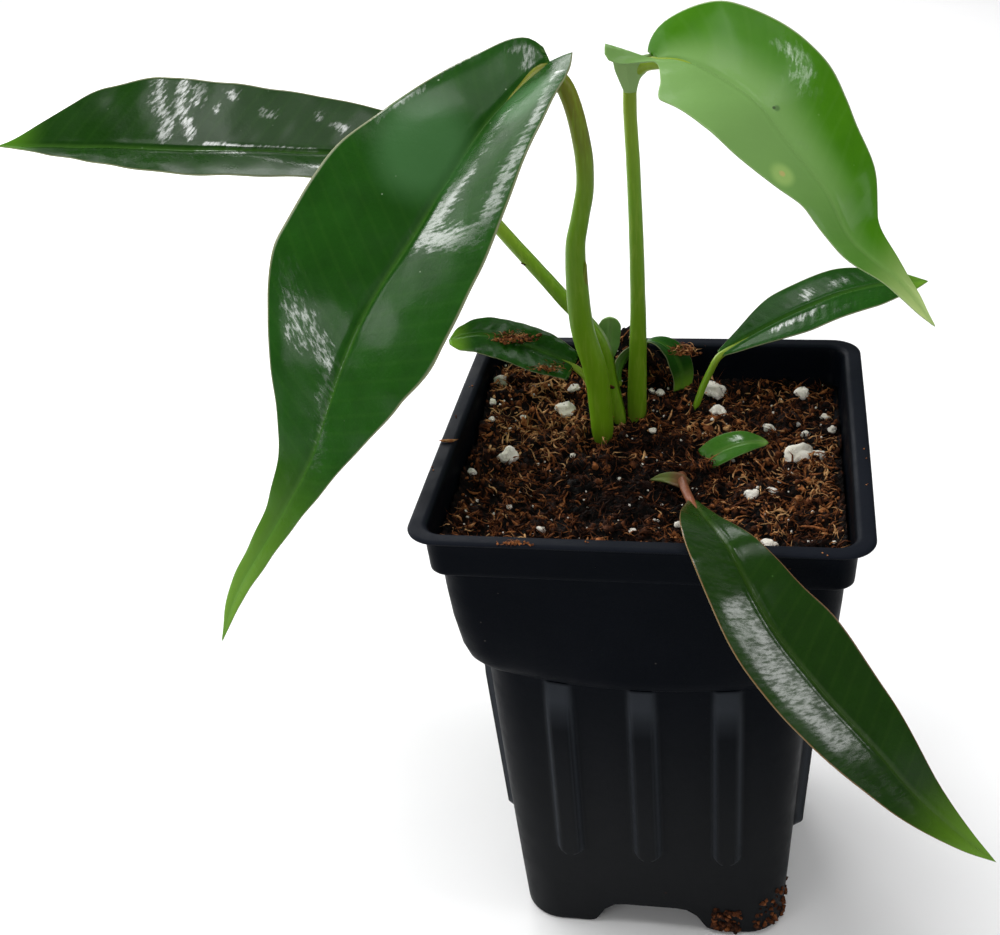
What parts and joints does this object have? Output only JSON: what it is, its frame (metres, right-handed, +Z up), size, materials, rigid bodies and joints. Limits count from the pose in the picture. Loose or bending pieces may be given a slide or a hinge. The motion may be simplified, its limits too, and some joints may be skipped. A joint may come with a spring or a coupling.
{
  "type": "potted plant",
  "caption": "Young philodendron with long dark pointed leaves and a light green new leaf, in a square black nursery pot filled with coarse potting mix.",
  "frame": {"origin": "middle of the plant's outline seen from above, at the level that the pot stands on", "axes": "+Z up; -Y is the front, where one leaf hangs over the pot's lip; the longest leaf reaches out to -X"},
  "size_m": [0.2418, 0.1348, 0.2282],
  "materials": {
    "pot_plastic": "moulded black plastic with a slight sheen",
    "soil_mix": "moist coco fibre and peat with white perlite grains",
    "root_bark": "pale matt root skin",
    "stalk_green": "smooth satin plant skin",
    "stalk_red": "smooth satin plant skin",
    "leaf_dark": "glossy waxy leaf",
    "leaf_young": "soft satin young leaf"
  },
  "bodies": {
    "root": {"pot": "pot_plastic", "soil": "soil_mix", "rootstock": "root_bark", "petiole_large_leaf": "stalk_green", "blade_large_leaf": "leaf_dark", "petiole_young_leaf": "stalk_green", "blade_young_leaf": "leaf_young", "petiole_far_left_leaf": "stalk_green", "blade_far_left_leaf": "leaf_dark", "petiole_right_leaf": "stalk_green", "blade_right_leaf": "leaf_dark", "petiole_front_leaf": "stalk_red", "blade_front_leaf": "leaf_dark", "back_left_leaf": "leaf_dark", "curled_leaf": "leaf_dark", "seedling_leaf": "leaf_dark", "pale_leaf": "leaf_young"}
  },
  "joints": []
}
